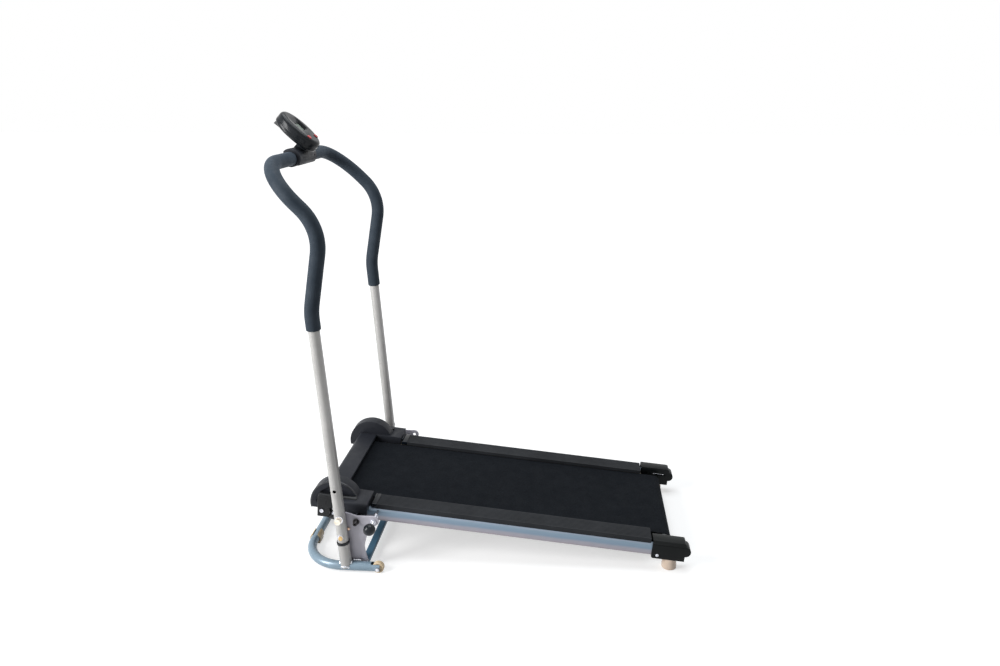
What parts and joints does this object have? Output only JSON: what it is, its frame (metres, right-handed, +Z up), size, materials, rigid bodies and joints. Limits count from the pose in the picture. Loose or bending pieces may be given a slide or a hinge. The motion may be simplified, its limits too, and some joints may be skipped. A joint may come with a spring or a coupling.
{
  "type": "treadmill",
  "caption": "Folding manual treadmill: a sloped belt deck hinged in a tube base, twin uprights, padded handlebar, small console, flywheels and transport wheels.",
  "frame": {"origin": "centre of the machine's overall footprint box, at floor level", "axes": "+X runs to the rear of the machine, +Y to the walker's right, +Z up"},
  "size_m": [1.1563, 0.6399, 1.2285],
  "materials": {
    "tube_silver": "silver-blue baked enamel, satin",
    "plate_grey": "silver-grey baked enamel, satin",
    "foam_blue": "dark slate-blue closed-cell foam",
    "plastic_charcoal": "fine-textured near-black plastic",
    "plastic_gloss": "glossy black plastic",
    "button_red": "red plastic",
    "display": "dark liquid-crystal window",
    "board_green": "green circuit board",
    "pad_cream": "cream soft plastic",
    "bolt_cream": "pale plated bolt",
    "brass_bolt": "yellow passivated",
    "zinc": "bright zinc plate",
    "steel": "turned steel",
    "flywheel_iron": "black painted iron",
    "belt": "black woven-backed belt, fine matt texture",
    "deck_panel": "sealed fibreboard"
  },
  "bodies": {
    "frame": {"base_tube": "tube_silver", "base_cross_member": "tube_silver", "left_socket": "tube_silver", "right_socket": "tube_silver", "left_side_plate": "plate_grey", "right_side_plate": "plate_grey", "front_pads": "pad_cream", "wheel_bolts": "zinc", "socket_rings": "plastic_charcoal", "spigots": "tube_silver", "left_upright": "tube_silver", "right_upright": "tube_silver", "handlebar_tube": "tube_silver", "left_grip_foam": "foam_blue", "right_grip_foam": "foam_blue", "upright_bolts": "bolt_cream", "upright_lower_bolts": "brass_bolt", "clamp_lower": "plastic_charcoal", "clamp_upper": "plastic_charcoal", "clamp_screws": "zinc", "console_back": "plastic_charcoal", "console_front": "plastic_charcoal", "display_window": "display", "circuit_board": "board_green", "lock_bushing": "zinc", "pivot_pins": "steel", "pivot_rings": "brass_bolt", "front_stop_bracket": "plate_grey"},
    "deck": {"left_side_rail": "tube_silver", "right_side_rail": "tube_silver", "deck_board": "deck_panel", "deck_cross_tubes": "tube_silver", "left_foot_rail": "plastic_charcoal", "right_foot_rail": "plastic_charcoal", "foot_rail_ends": "plastic_gloss", "running_belt": "belt", "left_rear_cap": "plastic_charcoal", "right_rear_cap": "plastic_charcoal", "rear_feet": "pad_cream", "roller_adjusters": "zinc", "cap_screws": "zinc", "rear_axle": "steel", "front_cover": "plastic_charcoal", "left_corner_cover": "plastic_charcoal", "right_corner_cover": "plastic_charcoal", "left_flywheel_housing": "plastic_charcoal", "right_flywheel_housing": "plastic_charcoal", "left_axle_bracket": "plate_grey", "right_axle_bracket": "plate_grey", "bracket_screws": "zinc"},
    "front_rotor": {"front_roller": "steel", "flywheels": "flywheel_iron"},
    "rear_rotor": {"rear_roller": "steel"},
    "lock": {"lock_knob": "plastic_gloss", "lock_pin": "zinc"},
    "left_wheel": {"left_wheel": "pad_cream"},
    "right_wheel": {"right_wheel": "pad_cream"},
    "left_button": {"left_button": "button_red"},
    "right_button": {"right_button": "button_red"}
  },
  "joints": [
    {"name": "deck_fold", "type": "hinge", "parent": "frame", "child": "deck", "pos_m": [-0.342, 0, 0.1455], "axis": [0, -1, 0], "range_deg": [0, 75]},
    {"name": "front_roller_spin", "type": "hinge", "parent": "deck", "child": "front_rotor", "pos_m": [-0.41983, 0, 0.14926], "axis": [0, 1, 0], "continuous": true},
    {"name": "rear_roller_spin", "type": "hinge", "parent": "deck", "child": "rear_rotor", "pos_m": [0.50923, 0, 0.0562], "axis": [0, 1, 0], "continuous": true},
    {"name": "lock_pull", "type": "slide", "parent": "frame", "child": "lock", "axis": [0, -1, 0], "range_m": [0, 0.012], "stiffness_N_per_m": 400, "springref_m": -0.004},
    {"name": "left_wheel_spin", "type": "hinge", "parent": "frame", "child": "left_wheel", "pos_m": [-0.283, -0.287, 0.016], "axis": [0, 1, 0], "continuous": true},
    {"name": "right_wheel_spin", "type": "hinge", "parent": "frame", "child": "right_wheel", "pos_m": [-0.283, 0.287, 0.016], "axis": [0, 1, 0], "continuous": true},
    {"name": "left_button_press", "type": "slide", "parent": "frame", "child": "left_button", "axis": [-0.7638, 0, -0.6455], "range_m": [0, 0.0012], "stiffness_N_per_m": 600, "springref_m": -0.0006},
    {"name": "right_button_press", "type": "slide", "parent": "frame", "child": "right_button", "axis": [-0.7638, 0, -0.6455], "range_m": [0, 0.0012], "stiffness_N_per_m": 600, "springref_m": -0.0006}
  ],
  "couplings": [
    {"joint": "rear_roller_spin", "follows": "front_roller_spin", "ratio": 1}
  ]
}
